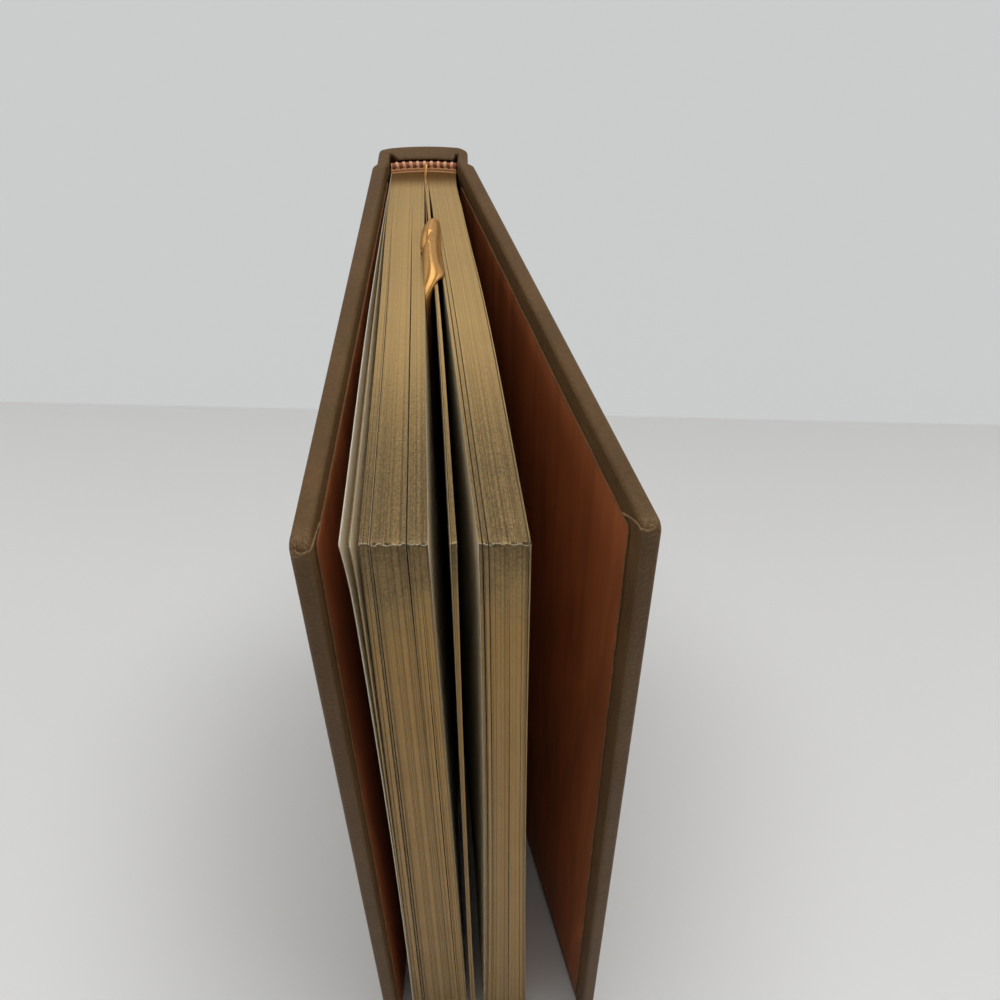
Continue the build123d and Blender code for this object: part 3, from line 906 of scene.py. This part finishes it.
for name, side, opening in covers:
    route, (nick_at, nick_radius, nick_depth, nick_paleness) = corner_folds[name]
    skin_points, wear, total = slab.copy(), slab_wear.copy(), slab_wear.size
    points, quads = [None], [slab_quads]
    for end in (-1, 1):
        into_book = np.array([-1, -end, 0])
        corner = np.array([cover_fore, end * half_height, face_in_at])
        nick = corner + nick_at * np.array([-1, -end, 1])
        near = np.exp(-(np.linalg.norm(skin_points - nick, axis=-1) / nick_radius) ** 2)
        skin_points += near[..., None] * nick_depth * into_book / sqrt(2)
        wear += near * nick_paleness
        line = round_slab(corner + through(route, 9) * (-1, -end, 1), *cover_shape)
        line = on_cover(name, side, opening, line)
        ahead = np.gradient(line, axis=0)
        upright = np.cross(ahead, (0.3, 0.5, 0.8))  # a direction that no route takes
        upright /= np.linalg.norm(upright, axis=1)[:, None]
        aside = np.cross(upright, ahead / np.linalg.norm(ahead, axis=1)[:, None])
        frayed = fold_radius * rng.uniform(0.6, 1.3, (len(line), 1))
        ring, ring_quads = tube(line, frayed, 8, aside, upright)
        points.append(ring)
        quads.append(ring_quads + total)
        total += len(ring)
    points[0] = on_cover(name, side, opening, skin_points).reshape(-1, 3)
    cover = make_piece(
        f"{name}_cover_calf",
        np.concatenate(points),
        np.concatenate(quads),
        (calf, raw_edge_and_highlight),
        np.arange(sum(map(len, quads))) >= len(slab_quads),
        wear=np.concatenate((wear.reshape(-1), np.full(total - wear.size, fold_wear_and_highlight))),
    )
    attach(cover, f"{name}_cover")
    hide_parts(f"{name}_leather")


# Joints: the same leather where it bends between spine and board, doubled by its
# turn-ins at head and tail. It is drawn round the hinge line for the covers' present opening.
joint_steps = 15
spine_pull = 1.2  # how strongly the outer side leaves the spine
spine_inward = 0.25  # and how far it turns in there, which makes the groove
board_pull = 0.9
for name, side, opening in covers:
    share = np.linspace(0, 1, joint_steps)[:, None]
    start_out, start_in = (
        np.array([side * half, spine_end_y]) for half in (spine_sides[side][0], cap_half)
    )
    end_out, end_in = (
        on_cover(name, side, opening, (board_start, 0, level))[:2]
        for level in (face_out_at, face_out_at - cover_thickness)
    )
    on_board = np.array([side * sin(opening), -cos(opening)])
    down = np.array([0, -1.0])
    pull = np.linalg.norm(end_out - start_out)
    from_spine = down * spine_pull + (-side * spine_inward, 0)
    outer = hermite(start_out, from_spine, end_out, on_board * board_pull, share, pull)
    inner = hermite(start_in, down, end_in, on_board, share, pull)
    rounds = [share[:, 0] * (cover_edge - r) + r for r in (cap_outside_round, cap_inside_round)]
    points, quads = standing_wall(outer, inner, spine_tail, spine_head, rounds[0], rounds[1])
    wear = np.full(len(points), skin_wear)
    joint = make_piece(f"{name}_joint_calf", points, quads, (calf,), wear=wear)
    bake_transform(joint)


# Pastedowns: silk laid on thin paper and pasted over the turn-ins. The silk is woven
# fine with a watered gleam, and the paper under it shows as a dull line at its edge.
pastedown_margins = {"front": (3.6, 3.6), "back": (5.2, 4.8)}  # at fore edge, at both ends
pastedown_start = 2.6
pastedown_thickness = 0.4
pastedown_corner = 0.8
pastedown_edge = 0.16
silk_thread = 0.3
fray_pitch = 3
fray_reach = 2.5  # how far in from the edge the silk is drawn
bare_border = 0.3


def moire(name, bright, dark):
    """Watered silk: fine ribs along the board and long wandering bands of gleam."""
    material, tree, cloth = new_material(name, Roughness=0.55, Specular_IOR_Level=0.2)
    place = put(tree, "TexCoord").outputs["Object"]
    drawn = put(tree, "Mapping", links={"Vector": place, "Scale": (1, 1, 0.12)})
    water = noise(tree, drawn, 7, 5, Distortion=0.8)
    ribs = put(
        tree,
        "TexWave",
        {"bands_direction": "Z"},
        {"Vector": place, "Scale": 0.314 / (silk_thread * MM), "Distortion": 0.5},
    )
    watered = ranged(tree, water, 0.35, 0.65)
    toned = mixed(tree, watered, dark, bright)
    tree.links.new(toned, cloth.inputs["Base Color"])
    emboss(tree, cloth, (ribs, 0.25, 0.05))
    return material


rust_moire = moire("rust_watered_silk", "#ad6136", "#904e27")
paper_edge = pressed_board("silk_backing_paper", "#8f6844", "#66472c")  # browned by paste
for name, side, opening in covers:
    fore_margin, end_margin = pastedown_margins[name]
    paper_fore, paper_half = cover_fore - fore_margin, half_height - end_margin
    paper_middle = face_in_at - pastedown_thickness / 2
    lines_a = paper_fore - edge_lines(paper_fore - 4, pastedown_edge, pastedown_corner)
    lines_a = np.concatenate((lines_a, [pastedown_start]))[::-1]
    lines_h = paper_half - edge_lines(paper_half - 1.5, pastedown_edge, pastedown_corner)
    lines_h = np.concatenate((-lines_h, lines_h[::-1]))
    lines_o = np.array([0, pastedown_edge / 2, pastedown_edge])
    lines_o = np.concatenate((lines_o, pastedown_thickness - lines_o[::-1]))
    lines_o = lines_o + paper_middle - pastedown_thickness / 2
    sheet = np.stack(np.meshgrid(lines_a, lines_h, lines_o, indexing="ij"), -1)
    sheet_quads, sheet_faces = lattice_skin(sheet.shape[:3])
    sheet = round_slab(
        sheet,
        paper_fore,
        paper_half,
        paper_middle,
        pastedown_thickness / 2,
        pastedown_corner,
        pastedown_edge,
    )

    # The silk's edge is ragged, and bare paper shows beside it in broken stretches
    frays = []
    for lines in (lines_h, lines_a):
        spots = np.arange(lines[0], lines[-1] + fray_pitch, fray_pitch)
        frays.append(np.interp(lines, spots, rng.uniform(-0.22, 0.12, len(spots))))
    by_fore = np.clip(1 - (paper_fore - sheet[..., 0]) / fray_reach, 0, 1)
    by_end = np.clip(1 - (paper_half - np.abs(sheet[..., 1])) / fray_reach, 0, 1)
    middle_of_face = sheet.reshape(-1, 3)[sheet_quads].mean(1)
    in_border = paper_fore - middle_of_face[:, 0] < bare_border
    in_border |= paper_half - np.abs(middle_of_face[:, 1]) < bare_border
    along_edge = middle_of_face[:, 0] + middle_of_face[:, 1]
    in_border &= np.sin(1.3 * along_edge) + np.sin(0.41 * along_edge + 1) > -0.4
    sheet[..., 0] += frays[0][None, :, None] * by_fore
    sheet[..., 1] += frays[1][:, None, None] * by_end * np.sign(sheet[..., 1])
    pastedown = make_piece(
        f"{name}_silk_pastedown",
        on_cover(name, side, opening, sheet),
        sheet_quads,
        (rust_moire, paper_edge),
        (sheet_faces < 4) | in_border,
    )
    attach(pastedown, f"{name}_cover")
    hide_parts(f"{name}_pastedown")


# Studio: a plain pale floor with a wall beyond the book, soft light from above and from
# both sides, and the camera in front of the fore edge, looking down on the head.
wall_y = (222.0, 71.0)  # the wall's foot at the room's left and right end
room_half = 1600.0
wall_height = 450.0
book_foot = Vector((0, -0.06, 0))  # in metres, as all that follows on lamps and camera
book_middle = Vector((0, -0.06, 0.12))


def studio_paint(name, colour, glow, near):
    """Matt paint. What the camera sees of it, directly or in a gloss, is lifted by a glow.

    The glow fades toward the book, within the distance near, so that its shadow stays.
    Only the side that faces the book is painted. The other is clear, so that the wall
    hides nothing from behind.
    """
    material, tree, coat = new_material(name, Roughness=0.8, Specular_IOR_Level=0.2)
    coat.inputs["Base Color"].default_value = linear(colour)
    surface = put(tree, "NewGeometry")
    place = surface.outputs["Position"]
    away = put(
        tree,
        "VectorMath",
        {"operation": "DISTANCE"},
        {"Vector": place, "Vector_001": book_foot},
    )
    away = away.outputs["Value"]
    glow = ranged(tree, away, 0.4 * near, near, 0, glow, **smooth)
    rays = put(tree, "LightPath")
    seen = reckon(tree, "MAXIMUM", rays.outputs["Is Camera Ray"], rays.outputs["Is Glossy Ray"])
    share = reckon(tree, "MULTIPLY", seen, glow)
    light = put(tree, "Emission", links={"Color": linear(colour), "Strength": 1.0})
    glowing = put(tree, "MixShader", links={"Fac": share})
    tree.links.new(coat.outputs[0], glowing.inputs[1])
    tree.links.new(light.outputs[0], glowing.inputs[2])
    clear = put(tree, "BsdfTransparent")
    one_sided = put(tree, "MixShader", links={"Fac": surface.outputs["Backfacing"]})
    tree.links.new(glowing.outputs[0], one_sided.inputs[1])
    tree.links.new(clear.outputs[0], one_sided.inputs[2])
    tree.links.new(one_sided.outputs[0], tree.nodes["Material Output"].inputs["Surface"])
    return material


left_y, right_y = wall_y
for name, corners, colour, glow, near in (
    (
        "studio_floor",
        ((-1, -room_half, 0), (1, -room_half, 0), (1, room_half, 0), (-1, room_half, 0)),
        "#f0efed",
        0.33,
        0.15,
    ),
    (
        "studio_wall",
        ((-1, left_y, 0), (1, right_y, 0), (1, right_y, wall_height), (-1, left_y, wall_height)),
        "#d4d6d6",
        0.85,
        0.01,
    ),
):
    plane = make_piece(
        name,
        np.array(corners) * (room_half, 1, 1),
        np.array([[0, 1, 2, 3]]),
        (studio_paint(f"{name}_paint", colour, glow, near),),
    )
    painted = plane.data.polygons[0]  # its painted side faces the book
    if painted.normal.dot(book_middle - painted.center) < 0:
        plane.data.flip_normals()

# The air gives a dim even light, and each softbox has a place, a size and a power in watts
scene = bpy.context.scene
scene.view_settings.view_transform = "Standard"
world = bpy.data.worlds.new("studio_air")
scene.world = world
world.use_nodes = True
world.node_tree.nodes["Background"].inputs["Color"].default_value = linear("#eef1f3")
world.node_tree.nodes["Background"].inputs["Strength"].default_value = 0.26
for name, place, size, power in (
    ("overhead_softbox", (0.1, 0.35, 2.0), 1.5, 20),
    ("right_softbox", (1.2, 0.1, 0.9), 0.8, 3.5),
    ("left_softbox", (-1.2, 0.1, 0.9), 0.8, 2.7),
):
    lamp = bpy.data.lights.new(name, "AREA")
    lamp.size = size
    lamp.energy = power
    softbox = bpy.data.objects.new(name, lamp)
    softbox.location = place
    softbox.rotation_euler = (Vector(place) - book_middle).to_track_quat("Z", "Y").to_euler()
    scene.collection.objects.link(softbox)

# The camera looks along +Y, down on the book and a little aslant
camera_place = (0.0184, -0.2498, 0.32024)
pitched_down = 43.74
rolled = -0.37
camera_data = bpy.data.cameras.new("camera")
camera_data.sensor_width = 36
camera_data.lens = 37.62
camera = bpy.data.objects.new("camera", camera_data)
tilt = Matrix.Rotation(radians(90 - pitched_down), 4, "X")
roll = Matrix.Rotation(radians(rolled), 4, "Z")
camera.matrix_world = Matrix.Translation(camera_place) @ tilt @ roll
scene.collection.objects.link(camera)
scene.camera = camera
